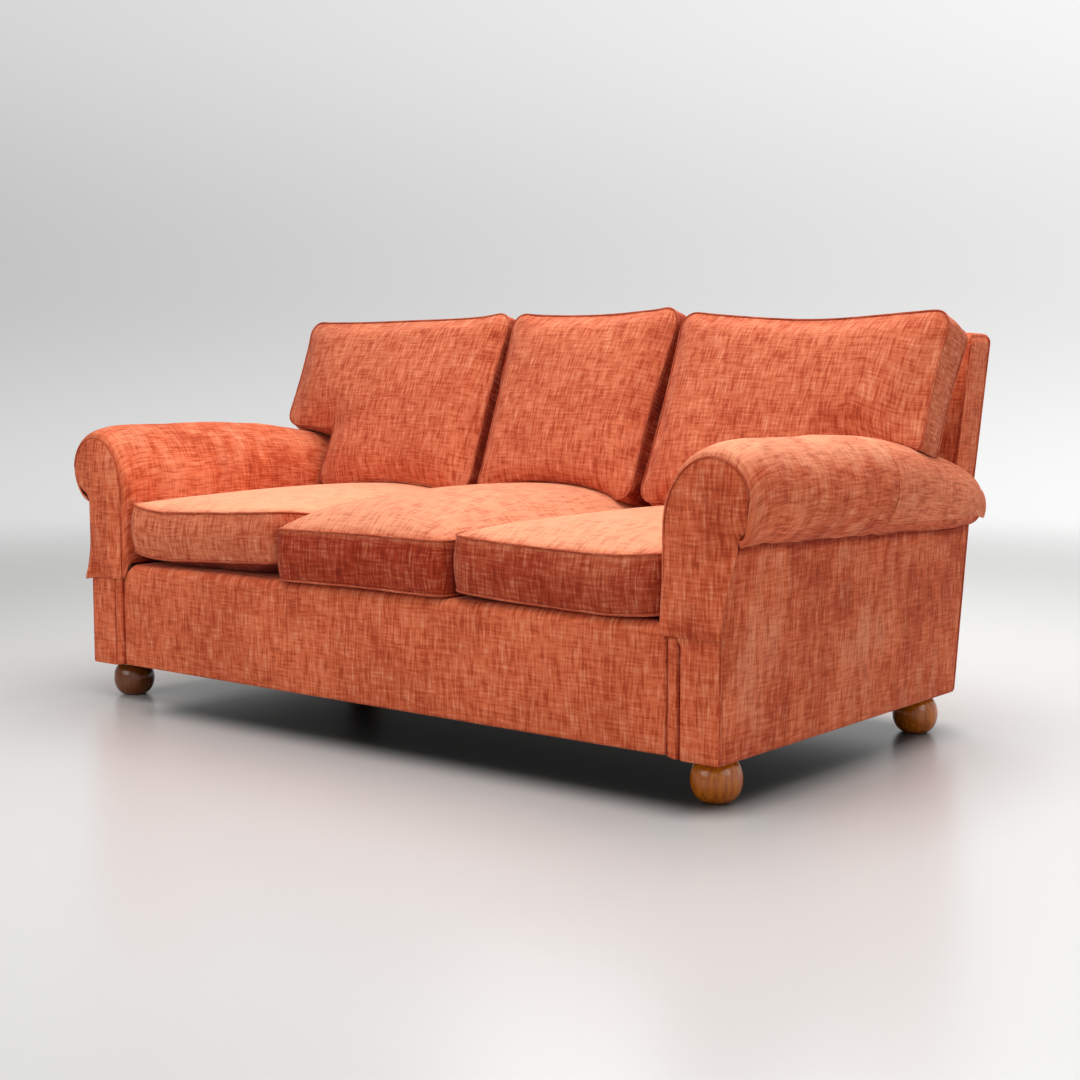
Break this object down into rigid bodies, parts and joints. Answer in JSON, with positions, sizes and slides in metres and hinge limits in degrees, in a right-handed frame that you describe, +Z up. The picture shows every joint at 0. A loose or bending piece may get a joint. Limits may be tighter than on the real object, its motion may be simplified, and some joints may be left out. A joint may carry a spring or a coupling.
{
  "type": "english roll arm sofa",
  "caption": "Sofa with low rolled arms under slip-on arm covers, a raked back, loose seat and back cushions, and turned ball feet.",
  "frame": {"origin": "on the floor, under the middle of the sofa's bounding box", "axes": "+X along the width, to the right as seen from the front; +Y to the back; +Z up; the sofa faces -Y"},
  "size_m": [1.948, 1.1004, 0.924],
  "materials": {
    "upholstery_fabric": "slubby terracotta chenille, matt",
    "cushion_fabric": "slubby terracotta chenille, matt, with self piping",
    "varnished_wood": "turned hardwood, clear satin varnish, warm orange brown",
    "frame_hardwood": "planed beech, bare",
    "spring_steel": "drawn spring wire, oiled",
    "deck_cloth": "plain lining cloth in the sofa's colour",
    "lining_cloth": "thin black dust cloth"
  },
  "bodies": {
    "frame": {"front_left_foot": "varnished_wood", "front_left_corner_block": "frame_hardwood", "rear_left_foot": "varnished_wood", "rear_left_corner_block": "frame_hardwood", "front_right_foot": "varnished_wood", "front_right_corner_block": "frame_hardwood", "rear_right_foot": "varnished_wood", "rear_right_corner_block": "frame_hardwood", "dust_cloth": "lining_cloth", "front_bottom_rail": "frame_hardwood", "front_seat_rail": "frame_hardwood", "back_bottom_rail": "frame_hardwood", "back_seat_rail": "frame_hardwood", "left_side_rail": "frame_hardwood", "right_side_rail": "frame_hardwood", "left_cross_rail": "frame_hardwood", "right_cross_rail": "frame_hardwood", "left_front_post": "frame_hardwood", "left_front_board": "frame_hardwood", "left_arm_top_rail": "frame_hardwood", "left_arm_lower_rail": "frame_hardwood", "right_front_post": "frame_hardwood", "right_front_board": "frame_hardwood", "right_arm_top_rail": "frame_hardwood", "right_arm_lower_rail": "frame_hardwood", "left_back_post": "frame_hardwood", "right_back_post": "frame_hardwood", "back_top_rail": "frame_hardwood", "back_tacking_rail": "frame_hardwood", "left_back_upright": "frame_hardwood", "right_back_upright": "frame_hardwood", "seat_spring_1": "spring_steel", "seat_spring_2": "spring_steel", "seat_spring_3": "spring_steel", "seat_spring_4": "spring_steel", "seat_spring_5": "spring_steel", "seat_spring_6": "spring_steel", "seat_spring_7": "spring_steel", "seat_spring_8": "spring_steel", "seat_spring_9": "spring_steel", "front_border": "upholstery_fabric", "seat_deck": "deck_cloth", "inside_back": "upholstery_fabric", "outside_back": "upholstery_fabric", "left_back_facing": "upholstery_fabric", "left_outside_arm": "upholstery_fabric", "right_back_facing": "upholstery_fabric", "right_outside_arm": "upholstery_fabric", "left_arm_facing": "upholstery_fabric", "left_arm_padding": "upholstery_fabric", "right_arm_facing": "upholstery_fabric", "right_arm_padding": "upholstery_fabric", "left_arm_cover": "upholstery_fabric", "right_arm_cover": "upholstery_fabric"},
    "left_seat": {"left_seat_cushion": "cushion_fabric"},
    "left_back": {"left_back_cushion": "cushion_fabric"},
    "middle_seat": {"middle_seat_cushion": "cushion_fabric"},
    "middle_back": {"middle_back_cushion": "cushion_fabric"},
    "right_seat": {"right_seat_cushion": "cushion_fabric"},
    "right_back": {"right_back_cushion": "cushion_fabric"}
  },
  "joints": [
    {"name": "left_seat_lift", "type": "slide", "parent": "frame", "child": "left_seat", "axis": [0, 0, 1], "range_m": [0, 0.6]},
    {"name": "middle_seat_lift", "type": "slide", "parent": "frame", "child": "middle_seat", "axis": [0, 0, 1], "range_m": [0, 0.6]},
    {"name": "right_seat_lift", "type": "slide", "parent": "frame", "child": "right_seat", "axis": [0, 0, 1], "range_m": [0, 0.6]},
    {"name": "left_back_lift", "type": "slide", "parent": "left_seat", "child": "left_back", "axis": [0, 0, 1], "range_m": [0, 0.5]},
    {"name": "middle_back_lift", "type": "slide", "parent": "middle_seat", "child": "middle_back", "axis": [0, 0, 1], "range_m": [0, 0.5]},
    {"name": "right_back_lift", "type": "slide", "parent": "right_seat", "child": "right_back", "axis": [0, 0, 1], "range_m": [0, 0.5]}
  ]
}
